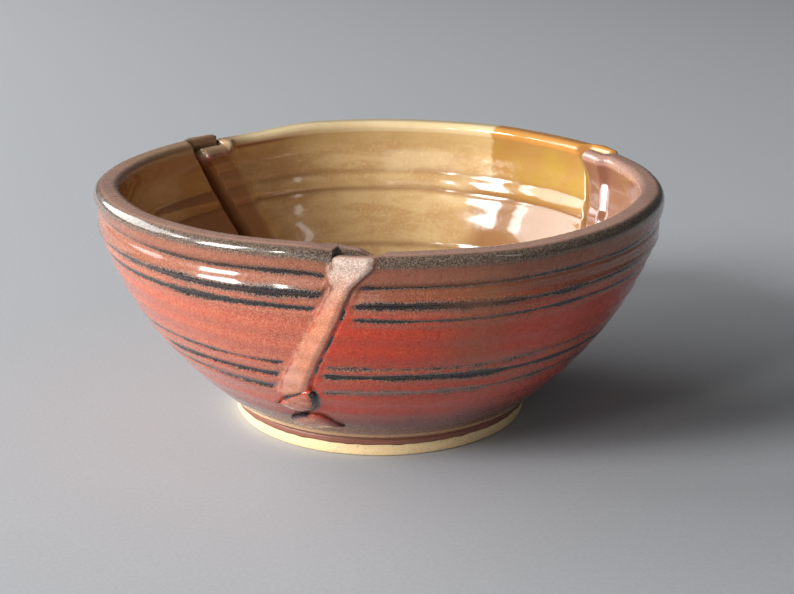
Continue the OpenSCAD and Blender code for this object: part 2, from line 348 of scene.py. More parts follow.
rim_height = cad_high.z / mm
dish_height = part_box("leaf_right")[0].z / mm
waist_radius = foot_radius + 1.6
recess_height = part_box("base_dish")[0].z / mm
floor_height = 8.0
rim_radius = 70.5
rim_flare = 1.6
wall_drop = rim_radius - waist_radius - rim_flare
wall_root_thickness = 7.6
wall_thickness = 5.2
rim_thickness = 6.6
lip_depth = 9.0
ledge_steps = 9
floor_steps = 70
floor_ring_radius = 21.0
spiral_height = 0.16


def outer_line(z):
    """Outer radius of the plain wall at height z."""
    fall = 1 - (z - foot_height) / (rim_height - foot_height)
    return rim_radius - rim_flare * fall - wall_drop * fall**2


def thickness(z):
    """Level thickness of the plain wall at height z."""
    fall = 1 - (z - foot_height) / (rim_height - foot_height)
    swell = (rim_thickness - wall_thickness) * ease((z - rim_height + lip_depth) / lip_depth)
    return wall_thickness + (wall_root_thickness - wall_thickness) * fall**2 + swell


def dish_marks(radius, height):
    """Tells the floor inside the bowl from the wall and the recess outside it."""
    inside = ease((dish_inner_radius + 0.3 - radius) / 0.2) * ease((height - floor_height + 1.5) / 0.5)
    ring = ease(1.1 - np.abs(radius - floor_ring_radius))
    return {"liner": inside, "ring": 0.5 * inside * ring}


dish_inner_radius = outer_line(dish_height) - thickness(dish_height)
ledge = [(outer_line(z), z, 0, 0) for z in np.linspace(foot_height + 0.9, dish_height, ledge_steps)]
floor_line = []
for share in np.linspace(1, 0, floor_steps):
    spiral = spiral_height * np.sin(share * 34) * ease(share * 4) * ease((1 - share) * 6)
    rise = (dish_height - floor_height) * share**3
    floor_line.append((dish_inner_radius * share, floor_height + rise + spiral, 0, 0))
dish_piece = turned("base_dish_thrown", [
    (waist_radius + 0.1, foot_height, 0.4, 0),
    *ledge,
    *floor_line,
    (0, recess_height, 0, 0),
    (foot_inner_radius - 1.2, recess_height, 1.0, 0),
    (foot_inner_radius - 0.2, foot_height, 0, 0),
], wobble=0.0, marks=dish_marks)


def mark(tree, name):
    """A mark laid down on the piece with its shape, from 0 to 1."""
    reader = tree.nodes.new("ShaderNodeAttribute")
    reader.attribute_name = name
    return reader.outputs["Fac"]


# The iron glaze outside: red where it is thick, tan where it breaks and near black where it pools and where
# shade is painted
iron, iron_in, iron_out = new_group(
    "iron_glaze",
    [("Pool and Shade", "NodeSocketFloat"), ("Break", "NodeSocketFloat")],
    [("Color", "NodeSocketColor"), ("Relief", "NodeSocketFloat")],
)
height = height_on(iron)
patch = cloud(iron, 14.0, 3.0, seed=3.0)
fine = cloud(iron, 0.32, 2.0)
grain = cloud(iron, 0.9, 3.0, seed=7.0)
deep = mixed(iron, patch, tint(186, 44, 29), tint(202, 62, 39))
brown = mixed(iron, patch, tint(128, 72, 54), tint(150, 98, 74))
low = mixed(iron, patch, tint(116, 60, 52), tint(128, 70, 60))

# Thinner and browner under the rim, and darker and grayer towards the foot
under_rim = between(iron, plus(iron, height, times(iron, patch, 4 * mm)), 45.5 * mm, 53.5 * mm)
by_foot = between(iron, plus(iron, height, times(iron, patch, 5 * mm)), 13 * mm, 22 * mm, 1.0, 0.0)
body = mixed(iron, under_rim, deep, brown)
body = mixed(iron, by_foot, body, low)

# Small orange flecks and dark freckles, but few of them by the foot
lively = worked(iron, "SUBTRACT", 1.0, times(iron, by_foot, 0.92))
fleck_share = times(iron, lively, between(iron, under_rim, 0.0, 1.0, 1.0, 0.45))
fleck_share = times(iron, fleck_share, between(iron, fine, 0.48, 0.64, 0.0, 0.62))
body = mixed(iron, fleck_share, body, tint(218, 108, 62))
freckle_share = times(iron, lively, between(iron, grain, 0.30, 0.46, 0.5, 0.0))
body = mixed(iron, freckle_share, body, tint(116, 32, 22))

# Tan on the ridges, where it breaks
broken = mixed(iron, between(iron, fine, 0.34, 0.66), tint(130, 66, 48), tint(188, 130, 104))
body = mixed(iron, times(iron, iron_in.outputs["Break"], 0.8), body, broken)

# Near black where it pools in the grooves and where shade is painted, with a gray edge and a ragged outline
wide_noise = cloud(iron, 7.0, 3.0, seed=17.0)
fine_ragged = between(iron, fine, 0.35, 0.7, 0.12, -0.18)
wide_ragged = between(iron, wide_noise, 0.3, 0.7, 0.12, -0.16)
ragged = plus(iron, fine_ragged, wide_ragged)
ragged = times(iron, ragged, between(iron, iron_in.outputs["Pool and Shade"], 0.02, 0.3))
ragged_pool_and_shade = plus(iron, iron_in.outputs["Pool and Shade"], ragged)
pool_edge = mixed(iron, between(iron, fine, 0.4, 0.6), tint(84, 70, 62), tint(150, 130, 112))
body = mixed(iron, between(iron, ragged_pool_and_shade, 0.14, 0.42, 0.0, 0.75), body, pool_edge)
pooled = mixed(iron, between(iron, fine, 0.42, 0.72), tint(20, 16, 20), tint(92, 80, 76))
body = mixed(iron, between(iron, ragged_pool_and_shade, 0.42, 0.66), body, pooled)

# Thin and tan at the turn from the foot to the wall, with a painted highlight line over it
foot_turn = between(iron, height, 6.1 * mm, 6.6 * mm, 0.8, 0.0)
body = mixed(iron, foot_turn, body, tint(150, 98, 80))
line_from = between(iron, height, 6.0 * mm, 6.4 * mm)
line_to = between(iron, height, 6.7 * mm, 7.2 * mm, 0.7, 0.0)
body = mixed(iron, times(iron, line_from, line_to), body, tint(196, 140, 112))
iron.links.new(body, iron_out.inputs["Color"])
iron.links.new(plus(iron, fine, grain), iron_out.inputs["Relief"])


def iron_glaze(tree, pool_and_shade, thin):
    """The iron glaze's color and relief, with where it pools and where shade is painted, and where it breaks.
    """
    group = tree.nodes.new("ShaderNodeGroup")
    group.node_tree = iron
    plug(tree, pool_and_shade, group.inputs["Pool and Shade"])
    plug(tree, thin, group.inputs["Break"])
    return group.outputs["Color"], group.outputs["Relief"]


wall_glaze, tree, shader = new_finish("wall_glaze")
height = height_on(tree)
fine = cloud(tree, 0.32, 2.0)
soft = cloud(tree, 9.0, 3.0, seed=5.0)
grit = between(tree, fine, 0.34, 0.66)

# Outside of the wall, painted paler tan on the left leaf as sheen on the side toward the windows
# Near black along each strap's right crease: partly glaze pooled there, partly painted shade of the side
# turned from the light
crease_breaks = between(tree, cloud(tree, 3.6, 3.0, seed=19.0), 0.42, 0.56, 0.1, 1.0)
broken_crease = times(tree, mark(tree, "crease"), crease_breaks)
pool_and_shade = worked(tree, "MAXIMUM", mark(tree, "groove"), broken_crease)
outside_color, glaze_relief = iron_glaze(tree, pool_and_shade, mark(tree, "ridge"))
painted_sheen_color = mixed(tree, grit, tint(180, 92, 68), tint(226, 166, 134))
painted_sheen_share = times(tree, mark(tree, "shade"), between(tree, mark(tree, "groove"), 0.05, 0.4, 0.5, 0.0))
painted_sheen_share = times(tree, painted_sheen_share, between(tree, height, 46 * mm, 50 * mm, 1.0, 0.25))
outside_color = mixed(tree, painted_sheen_share, outside_color, painted_sheen_color)
smoky = mixed(tree, fine, tint(126, 70, 48), tint(176, 116, 80))
outside_color = mixed(tree, times(tree, mark(tree, "smoke"), 0.55), outside_color, smoky)

# Straps, where the glaze is thin over the pressed clay, and palest on their heads
strap_color = mixed(tree, grit, tint(218, 126, 92), tint(246, 184, 146))
strap_color = mixed(tree, between(tree, soft, 0.4, 0.65, 0.0, 0.5), strap_color, tint(240, 190, 168))
pale_head = mixed(tree, grit, tint(204, 166, 144), tint(250, 236, 224))
strap_color = mixed(tree, between(tree, height, 48 * mm, 58 * mm), strap_color, pale_head)
strap_noise = between(tree, cloud(tree, 2.6, 3.0, seed=23.0), 0.3, 0.7, -0.16, 0.16)
strap_share = between(tree, plus(tree, mark(tree, "strap"), strap_noise), 0.2, 0.9, 0.0, 0.8)
outside_color = mixed(tree, strap_share, outside_color, strap_color)

# Rim: a dark speckled roll outside, and mauve, cream, olive or amber on top
roll_color = mixed(tree, between(tree, fine, 0.40, 0.66), tint(72, 60, 54), tint(138, 118, 100))
outside_color = mixed(tree, mark(tree, "rim_roll"), outside_color, roll_color)
top_color = mixed(tree, soft, tint(170, 130, 114), tint(188, 150, 132))
top_color = mixed(tree, between(tree, fine, 0.35, 0.7, 0.0, 0.35), top_color, tint(112, 84, 76))
cream_color = mixed(tree, soft, tint(236, 214, 170), tint(224, 196, 146))
top_color = mixed(tree, mark(tree, "cream"), top_color, cream_color)
olive_color = mixed(tree, soft, tint(158, 124, 92), tint(178, 146, 110))
top_color = mixed(tree, times(tree, mark(tree, "olive"), 0.85), top_color, olive_color)
amber_top = mixed(tree, soft, tint(206, 152, 84), tint(196, 130, 60))
top_color = mixed(tree, mark(tree, "amber"), top_color, amber_top)

# Inside: a cream liner with soft streaks, browner on the right leaf, and painted shade on the left leaf and
# beside the back-left lap
liner_color = mixed(tree, soft, tint(222, 190, 138), tint(204, 168, 116))
streaks = between(tree, cloud(tree, 5.0, 4.0, stretch=(0.3, 0.3, 1.0), seed=29.0), 0.4, 0.62, 0.0, 0.6)
liner_color = mixed(tree, streaks, liner_color, tint(186, 140, 90))
freckles = between(tree, cloud(tree, 0.8, 3.0, seed=31.0), 0.5, 0.75, 0.0, 0.4)
liner_color = mixed(tree, freckles, liner_color, tint(234, 208, 158))
liner_color = mixed(tree, between(tree, height, 50 * mm, 58 * mm, 0.0, 0.7), liner_color, tint(210, 178, 120))
shaded = mixed(tree, soft, tint(156, 108, 70), tint(178, 130, 86))
liner_color = mixed(tree, mark(tree, "shade"), liner_color, shaded)
blushed = mixed(tree, soft, tint(120, 76, 60), tint(140, 96, 76))
liner_color = mixed(tree, mark(tree, "blush"), liner_color, blushed)
tanned = mixed(tree, soft, tint(132, 86, 58), tint(150, 104, 66))
liner_color = mixed(tree, times(tree, mark(tree, "tan"), 0.9), liner_color, tanned)

# Amber where a second glaze was poured over one corner, brown in the throwing rings, and a painted shadow
# line under the torn ledge
amber_color = mixed(tree, soft, tint(178, 140, 80), tint(174, 122, 60))
green_patches = between(tree, cloud(tree, 16.0, 2.0, seed=11.0), 0.45, 0.7, 0.0, 0.6)
amber_color = mixed(tree, green_patches, amber_color, tint(178, 148, 62))
liner_color = mixed(tree, mark(tree, "amber"), liner_color, amber_color)
liner_color = mixed(tree, times(tree, mark(tree, "ring"), 0.7), liner_color, tint(136, 92, 52))

wall_color = mixed(tree, mark(tree, "rim_top"), outside_color, top_color)
wall_color = mixed(tree, mark(tree, "liner"), wall_color, liner_color)
torn_color = mixed(tree, fine, tint(132, 78, 68), tint(186, 132, 118))
wall_color = mixed(tree, mark(tree, "torn"), wall_color, torn_color)
tree.links.new(wall_color, shader.inputs["Base Color"])

# Satin outside and glossier inside, over a faint ripple
outside_rough = between(tree, cloud(tree, 1.6, 3.0), 0.3, 0.7, 0.20, 0.34)
smooth_inside = worked(tree, "MAXIMUM", mark(tree, "liner"), mark(tree, "cream"))
shine = worked(tree, "SUBTRACT", outside_rough, times(tree, smooth_inside, 0.16))
tree.links.new(shine, shader.inputs["Roughness"])
ripple = cloud(tree, 5.0, 2.0, seed=13.0)
relief = plus(tree, times(tree, glaze_relief, 0.035), times(tree, ripple, 0.25))
tree.links.new(bumped(tree, relief, 0.7), shader.inputs["Normal"])
shader.inputs["Coat Weight"].default_value = 0.8
shader.inputs["Coat Roughness"].default_value = 0.07
shader.inputs["Specular IOR Level"].default_value = 0.2
fitted(dish_piece, wall_glaze, "wall_glaze", "base_dish")

# ---- Leaves ------------------------------------------------------------------------------------
# The wall of the bowl, cut into three leaves and drawn together again. Each leaf starts outside
# the end of its neighbour, over slip, and is pressed down into a strap that leans round the bowl.
# Throwing grooves run round the outside, and the rim is a thick roll with a lip inside.

# the laps: where they lean, widen and thin out
slip_thickness = 0.4
edge_thickness = 1.0
edge_taper = 1.8
wiped_edge = 0.18
step_length = 3.0
lap_growth = 14.0
lap_squeeze = 0.76
seam_lean = 19.0
bend_top = 46.0
bend_depth = 28.0
head_from = 51.5
head_depth = 8.0
draw_spread = 50.0

# the straps and the crease along their right side
strap_foot = 16.0
strap_growth = 9.0
strap_proud = 0.12
crease_depth = 0.3
crease_width = 0.45
crease_top = 54.0

# the throwing grooves, which run in groups of three
group_gap = 6.0
groove_stagger = 0.9
high_bead = 1.0
low_bead = 0.3
shore_step = 0.75

# the rim, its dark roll of glaze and the torn ledge on one corner
roll_height = 2.3
lip_round = 1.7
most_rounding = 0.44
roll_glaze_depth = 3.4
liner_depth = 2.2
ledge_depth = 2.4
ledge_shadow_depth = 4.9

# rows up a leaf and columns along it
wall_rows = 124
roll_rows = 13
strap_columns = 60
free_columns = 120
tongue_columns = 52

# each seam: its bearing at the rim, how far it draws the wall in, how much further its foot leans,
# the width of its lap at the foot, at the rim and in the head, how proud its strap is, the length
# over which the inner leaf's end is rounded, the drop of the outer leaf's corner, and 1 if torn
seams = {
    "front": dict(
        bearing=-4.2, draw=1.4, foot_lean=3.0, lap_foot=8.2, lap_rim=4.2, head=6.0,
        crown=0.0, taper=11.0, corner=0.5, torn=0.0),
    "back_right": dict(
        bearing=117.0, draw=0.5, foot_lean=0.0, lap_foot=7.0, lap_rim=8.0, head=2.0,
        crown=0.3, taper=3.2, corner=2.0, torn=0.0),
    "back_left": dict(
        bearing=229.0, draw=2.6, foot_lean=0.0, lap_foot=7.4, lap_rim=9.0, head=3.0,
        crown=0.3, taper=1.6, corner=0.8, torn=1.0),
}

# each groove: height, depth, width, then the dark line in it: how far up, width and darkness;
# each lift of the rim: the bearing it begins at, over how many degrees, and by how much
leaves = {
    "leaf_right": dict(
        start="front", end="back_right",
        rim_lifts=((62, -40, -0.8), (68, 14, -0.4)),
        grooves=(
            (52.6, 0.70, 1.00, 0.3, 0.60, 0.85), (47.8, 0.60, 0.80, 0.1, 1.15, 1.0),
            (44.6, 0.40, 0.55, 0.0, 0.60, 0.9), (31.2, 0.22, 0.70, 0.0, 0.80, 0.52),
            (28.4, 0.70, 0.75, 0.0, 1.05, 1.0), (23.6, 0.30, 1.00, 0.0, 1.60, 0.54))),
    "leaf_back": dict(
        start="back_right", end="back_left",
        rim_lifts=((195, 20, -1.3),),
        grooves=(
            (53.4, 0.75, 1.05, 0.3, 0.50, 0.9), (49.3, 0.60, 0.80, 0.1, 0.95, 1.0),
            (45.8, 0.40, 0.55, 0.0, 0.55, 0.9), (31.4, 0.30, 0.60, 0.0, 0.60, 0.8),
            (28.6, 0.65, 0.80, 0.0, 0.80, 1.0), (24.5, 0.35, 0.80, 0.0, 0.80, 0.8))),
    "leaf_left": dict(
        start="back_left", end="front",
        rim_lifts=((265, 30, 0.8), (345, 15, -1.3)),
        grooves=(
            (54.2, 0.85, 1.15, 0.5, 0.60, 0.85), (50.0, 0.55, 0.80, 0.3, 1.20, 1.0),
            (46.7, 0.45, 0.60, 0.0, 0.80, 0.95), (31.7, 0.35, 0.55, 0.0, 0.65, 0.75),
            (27.5, 0.65, 0.75, 0.0, 1.05, 1.0), (24.0, 0.40, 0.65, 0.0, 1.00, 0.72))),
}

# the tabs over the foot of each lap: outlines in mm from the lap's middle and in mm of height
petals = {
    "upper_tuck": dict(
        outline=(
            (-3.2, 17.2), (-3.2, 17.2), (-0.4, 21.0), (3.0, 23.4), (5.0, 22.6), (5.6, 18.4),
            (1.9, 14.9)),
        peak=1.8, lifted_shaded_sides=((-0.6, 0.8), (1.0, 0.0))),
    "lower_tuck": dict(
        outline=(
            (-1.4, 11.4), (0.6, 13.4), (4.0, 14.8), (7.0, 14.2), (10.4, 10.8), (10.4, 10.8),
            (4.8, 9.0), (0.6, 9.2)),
        peak=1.6, lifted_shaded_sides=((-0.55, -0.85), (-0.9, 0.3))),
}
petal_spokes = 72
leaf_marks = ("amber", "blush", "shade", "cream", "olive", "smoke", "tan")
tab_reach = 14.0
tab_top = 26.0
tab_shadow_width = 0.75


def hump(away, width):
    """1 at the middle of a ridge or a groove, falling smoothly to 0 beyond its width."""
    return np.exp(-((away / width) ** 2))


def closed_curve(corners, count):
    """A smooth closed line through the corners."""
    corners = np.array(corners, float)
    total = len(corners)
    place = np.linspace(0, total, count, endpoint=False)
    step = place.astype(int)
    t = (place - step)[:, None]
    a, b, c, d = (corners[(step + n) % total] for n in (-1, 0, 1, 2))
    return 0.5 * (2 * b + (c - a) * t + (2 * a - 5 * b + 4 * c - d) * t**2 + (3 * b - a - 3 * c + d) * t**3)


def lift_and_shade_share(edge, lifted_shaded_sides):
    """How far each point of a tab's edge lies on a lifted side, where shade is painted dark under it."""
    centre = edge.mean(0)
    away = (edge - centre) / np.linalg.norm(edge - centre, axis=1)[:, None]
    return np.max([ease((away @ np.array(side) - 0.45) / 0.4) for side in lifted_shaded_sides], 0)


def along(z):
    """Share of the height from the foot of a lap to the rim."""
    return (z - dish_height) / (rim_height - dish_height)


def middle_line(z):
    """Radius of the middle of the plain wall."""
    return outer_line(z) - thickness(z) / 2


def arc(length, z):
    """Degrees covered by a length measured round the wall."""
    return np.degrees(length / middle_line(z))


def lap_width(seam, z):
    """Width of a lap: even up the wall, then spread to a head under the rim."""
    plain = seam["lap_foot"] + (seam["lap_rim"] - seam["lap_foot"]) * along(z)
    return plain + seam["head"] * ease((z - head_from) / head_depth)


def seam_at(seam, z):
    """Bearing of the middle of a lap."""
    lean = seam_lean * (1 - along(z)) + seam["foot_lean"] * ease((bend_top - z) / bend_depth)
    return seam["bearing"] - lean


def lap_start(seam, z):
    """Bearing of the outer leaf's wiped edge."""
    return seam_at(seam, z) - arc(lap_width(seam, z) / 2, z)


def lap_end(seam, z):
    """Bearing of the inner leaf's end."""
    return seam_at(seam, z) + arc(lap_width(seam, z) / 2, z)


def drawn_middle(bearing, z):
    """Radius of the middle of the wall, drawn inward near each seam."""
    radius = middle_line(z)
    for seam in seams.values():
        away = bearing - seam_at(seam, z)
        away = away - full_turn * np.round(away / full_turn)
        share = np.minimum(np.abs(away) / draw_spread, 1)
        pull = seam["draw"] * (1 + np.cos(np.pi * share)) / 2
        radius = radius - pull * ease(along(z))
    return radius


def rim_lift(leaf, bearing):
    """How far the rim stands above or below its level, since no thrown rim stays true."""
    lift = wander(bearing, 0.25, 41)
    for begins, over, rise in leaf["rim_lifts"]:
        lift = lift + rise * ease((bearing - begins) / over)
    return lift


def painted_tab_shadow(seam, bearing, z):
    """The painted shadow line on the wall round the tabs of one seam, from 0 to 1."""
    away = bearing - seam_at(seam, z)
    offset = np.radians(away - full_turn * np.round(away / full_turn)) * middle_line(z)
    z = np.broadcast_to(z, offset.shape)
    near = (np.abs(offset) < tab_reach) & (z < tab_top)
    place = np.stack([offset[near], z[near]], -1)[:, None]
    line = np.zeros_like(offset)
    for shape in petals.values():
        edge = closed_curve(shape["outline"], petal_spokes)
        weight = 0.62 + 0.38 * lift_and_shade_share(edge, shape["lifted_shaded_sides"])
        distance = np.linalg.norm(place - edge, axis=2)
        line[near] = np.maximum(line[near], (weight * hump(distance, tab_shadow_width)).max(1))
    return line


def grooved(grooves, outer, bearing, z, past_strap, to_next):
    """The outer face with throwing grooves, and where the glaze pools in them and breaks by them."""
    pooled = np.zeros_like(outer)
    broken = np.zeros_like(outer)
    above = np.inf
    for number, groove in enumerate(grooves):
        place, depth, width, rise, line_width, darkness = groove
        sway = wander(bearing, 0.5, 50 + number, waves=(2, 3, 7))
        stagger = groove_stagger * (number % 3)
        there = ease((past_strap - 0.2 - stagger) / 2.2) * ease((to_next - 0.2) / 1.1)
        outer = outer - depth * hump(z - place - sway, width) * there
        line_at = z - place - rise - sway
        breadth = line_width * (1 + wander(bearing, 0.5, 90 + number, waves=(4, 7, 11, 19)))
        pooled = np.maximum(pooled, hump(line_at, breadth) * there * darkness)

        # clay pushed up between two grooves of a group, most of all under the highest groove
        if above - place < group_gap:
            crest = place + 0.5 * width + 0.1
            rising = np.where(z > crest + sway, 1.1, 0.5)
            bead = high_bead if number == 1 else low_bead
            outer = outer + bead * hump(z - crest - sway, rising) * there

        # glaze thinned along both shores of the dark line
        for side, share in ((1, 0.6), (-1, 0.75)):
            shore = hump(line_at - side * (line_width + shore_step), 0.6) * there
            broken = np.maximum(broken, share * shore * darkness)
        above = place
    return outer, pooled, broken


def leaf_colors(name, bearing, z, height, over):
    """Where the glazes that are particular to one leaf lie on it, and where shade is painted on it, from 0 to
    1.
    """
    nowhere = np.zeros_like(bearing)
    everywhere = np.ones_like(bearing)
    off_floor = ease((z - dish_height - 1) / 12)
    colors = {mark_name: nowhere for mark_name in leaf_marks}
    if name == "leaf_back":
        dip_line = 149.5 + wander(height * 9, 0.8, 81)
        dip_edge = 0.7 + 9 * ease((46 - height) / 8)
        dipped = 1 - ease((bearing - dip_line) / dip_edge)
        by_lap = ease((bearing - 221.5 + (rim_height - height) * 0.28) / 3.5)
        tan = (1 - ease((bearing - dip_line + 2) / 10)) * (1 - ease((z - 41) / 8))
        colors["amber"] = dipped * (0.12 + 0.88 * ease((height - 37) / 10))
        colors["cream"] = ease((over - 0.5) / 0.4) * everywhere
        colors["tan"] = tan * off_floor * (over > 2.5)
        colors["olive"] = ease((bearing - 214) / 9)
        # painted shade: light over the back leaf's end, deep in the band beside the back-left lap's cut end
        colors["shade"] = (0.25 * ease((bearing - 200) / 14) + 0.75 * by_lap) * off_floor
    if name == "leaf_right":
        broad = hump(bearing - 19 - wander(z * 12, 1.5, 83), 7) * ease((z - 30) / 4)
        drip = hump(bearing - 42.5 - wander(z * 9, 0.6, 85), 0.9) * ease((z - 40) / 4)
        colors["blush"] = ease((bearing - 70) / 25) * off_floor
        colors["smoke"] = np.maximum(broad, drip) * (1 - ease((z - 55) / 3)) * (over < 0.1)
    if name == "leaf_left":
        # painted shade over the whole inside of the left leaf; outside, the same mark places the painted
        # sheen
        colors["shade"] = everywhere * off_floor
        colors["olive"] = 1 - ease((bearing - 238) / 38)
    return colors


def leaf_shell(name):
    """One leaf: up its outside, over the rim and down its inside, from lap to lap."""
    leaf = leaves[name]
    start = seams[leaf["start"]]
    end = seams[leaf["end"]]
    round_again = full_turn if end["bearing"] < start["bearing"] else 0

    # levels of one section, from the foot of the leaf up the outside, over the rim and down
    outside = np.linspace(dish_height, rim_height - roll_height, wall_rows)
    inside = np.linspace(rim_height - lip_round, dish_height, wall_rows)
    swing = np.linspace(0, np.pi / 2, roll_rows + 1)[1:]
    z = np.concatenate([
        outside, np.full(roll_rows, rim_height - roll_height),
        np.full(roll_rows, rim_height - lip_round), inside])[None, :]

    # how far over the rim: 0 outside, to 1 on the roll, from 2 to 3 on the lip, and 3 inside
    over = np.concatenate([
        np.zeros(wall_rows), swing / np.pi * 2,
        2 + np.linspace(0, 0.99, roll_rows), np.full(wall_rows, 3.0)])

    # bearings: close together over the outer lap, even along the leaf, close again at its end
    first = lap_start(start, z)
    last = lap_end(end, z) + round_again
    strap_to = lap_end(start, z) + arc(step_length + 2.0, z)
    tongue_from = lap_start(end, z) + round_again - arc(step_length + 1.5, z)
    parts = []
    for low, high, count, keep in (
            (first, strap_to, strap_columns, False),
            (strap_to, tongue_from, free_columns, False),
            (tongue_from, last, tongue_columns, True)):
        share = np.linspace(0, 1, count, endpoint=keep)[:, None]
        if keep:
            share = 1 - (1 - share) ** 1.35
        parts.append(low + (high - low) * share)
    bearing = np.concatenate(parts)

    # distances in millimetres: past the wiped edge and the strap, to the next strap and to the end
    per_degree = np.radians(middle_line(z))
    past_edge = (bearing - first) * per_degree
    strap_right = (lap_end(start, z) - first) * per_degree
    past_strap = past_edge - strap_right
    to_next = (lap_start(end, z) + round_again - bearing) * per_degree
    to_end = (last - bearing) * per_degree

    middle = drawn_middle(bearing, z)
    thick = thickness(z)
    half = (thick - slip_thickness) / 2
    pressed = half + (lap_squeeze * thick - half) * ease((z - dish_height) / lap_growth)

    # outer face
    grown = ease((z - strap_foot) / strap_growth)
    across = np.clip(past_edge / strap_right, 0, 3)
    crown = across ** 1.2 * 1.3 * (1 - ease((past_strap + 1.9) / 2.5))
    proud = strap_proud * thick + start["crown"]
    strap = crown * proud * grown
    crease = hump(past_strap - crease_width, crease_width) * grown
    crease = crease * (1 - ease((z - crease_top) / 3.0))
    outer = middle + thick / 2 + strap - crease_depth * crease
    outer, groove_mark, ridge_mark = grooved(leaf["grooves"], outer, bearing, z, past_strap, to_next)

    # a thrown wall is never quite round; its end runs in under the next leaf
    uneven = wander(bearing, 0.22, 61) + 0.10 * np.sin(z * 1.3 + np.radians(bearing) * 3)
    outer = outer + uneven * ease((z - dish_height) / 8)
    edge_line = middle + half - edge_thickness
    under = edge_line + (middle - edge_line) * ease(-to_next / edge_taper) - slip_thickness / 2
    outer = outer + (under - outer) * ease(-(to_next + 0.7) / 0.7)
    outer = outer - wiped_edge * (1 - ease(past_edge / 0.7))

    # inner face
    own = middle - thick / 2
    slip_side = edge_line + (middle - edge_line) * ease(past_edge / edge_taper) + slip_thickness / 2
    inner = own + (slip_side - own) * (1 - ease(past_strap / step_length))
    lapped = middle - slip_thickness / 2 - pressed
    inner = inner + (lapped - inner) * ease(1 - to_next / step_length)
    taper = end["taper"]
    left = np.clip(to_end / taper, 0.0, 1.0)
    roundness = np.sqrt(np.clip(1 - (1 - left) ** 2, 0.02, 1))
    inner = np.where(to_end < taper, under - (under - inner) * roundness, inner)

    # throwing rings inside: a raised band between two hollows, and one hollow further down
    ring_place = wander(bearing, 0.5, 71)
    ring_up = hump(z - 43.4 - ring_place, 1.3)
    ring_dip = hump(z - 41.0 - ring_place, 0.8)
    ring_high = hump(z - 45.7 - ring_place, 0.8)
    ring_low = hump(z - 26.7, 0.8)
    ripples = 0.05 * np.sin(z * 0.9 + 1.0) * ease((55 - z) / 8)
    free = ease(to_end / 2) * ease(past_strap / 2)
    swell = 0.16 * ring_up - 0.20 * ring_dip - 0.10 * ring_high - 0.25 * ring_low
    inner = inner - (swell + ripples) * free

    # over the rim
    roll_from = wall_rows
    lip_from = roll_from + roll_rows
    inside_from = lip_from + roll_rows
    rim_wall = outer[:, roll_from - 1:roll_from]
    rim_lip = inner[:, inside_from:inside_from + 1]
    width = rim_wall - rim_lip
    roll = np.minimum(roll_height, width * most_rounding)
    lip = np.minimum(lip_round + 0.4, width * most_rounding)
    height = np.broadcast_to(z, bearing.shape).copy()
    radius = np.where(np.arange(z.shape[1]) < roll_from, outer, inner)
    radius[:, roll_from:lip_from] = rim_wall - roll * (1 - np.cos(swing))
    height[:, roll_from:lip_from] = rim_height - roll_height * (1 - np.sin(swing))
    radius[:, lip_from:inside_from] = rim_lip + lip * (1 - np.cos(swing[::-1]))
    height[:, lip_from:inside_from] = rim_height - lip_round * (1 - np.sin(swing[::-1]))

    # the rim rises and falls, and drops at the rounded corners of the leaf
    top = slice(lip_from, lip_from + 1)
    seam_end = to_end[:, top]
    seam_edge = past_edge[:, top]
    lift = rim_lift(leaf, bearing[:, top])
    flap = start["corner"] * (1 - ease(seam_edge / 2.6))
    tongue = 1.1 * (1 - ease(seam_end / min(taper, 4.0)))
    ragged = 1 + 0.12 * np.sin(seam_end * 0.9) + 0.07 * np.sin(seam_end * 2.3 + 1)
    torn = end["torn"] * ease((12.0 - seam_end) / 2.5)
    ledge_mark = torn * ragged * hump(height - rim_height + ledge_depth, 1.2) * (over > 1.6)
    # painted shadow line under the torn ledge, carried by the ring mark
    painted_ledge_shadow = torn * hump(height - rim_height + ledge_shadow_depth, 0.8) * (over > 2.5)
    radius = radius - 0.9 * ledge_mark * ease(seam_end)
    height = height + (lift - flap - tongue - torn) * ease((height - 46) / 14)

    # where each part of the glaze lies, and where shade is painted
    outside_face = ease(1 - over / 0.02)
    below_rim = rim_height + lift - height
    head = ease((past_edge + 0.2) / 0.8) * (1 - ease((past_strap + 0.4) / 1.2))
    on_roll = ease((roll_glaze_depth - below_rim) / 1.6) * (1 - ease((over - 0.70) / 0.25)) * (over < 2)
    roll_band = (1 - 0.9 * head) * on_roll
    past_lip = ease((over - 2.97) / 0.03) * ease((rim_height - 2.6 - height) / 0.8)
    top_band = ease((over - 0.62) / 0.3) * (1 - past_lip)
    feathered = ease((past_edge + 0.8 + wander(z * 8, 0.9, 87)) / 2.6)
    strap_mark = feathered * (1 - ease((past_strap + 0.9) / 1.1)) * (over < 1.6)
    before_lap = ease((1.3 - to_next) / 2.6) * (over < 0.5)
    inner_mark = ease((over - 2.75) / 0.24) * ease(below_rim - liner_depth)

    colors = leaf_colors(name, bearing, z, height, over)
    if name == "leaf_left":
        roll_band = roll_band * (1 - 0.75 * colors["olive"])
    ring_mark = np.maximum(0.9 * ring_dip, np.maximum(0.45 * ring_high, 0.8 * ring_low)) * free
    # painted shadow round the tabs, carried by the groove mark
    tab_shadow_mark = np.maximum(painted_tab_shadow(start, bearing, z), painted_tab_shadow(end, bearing, z))
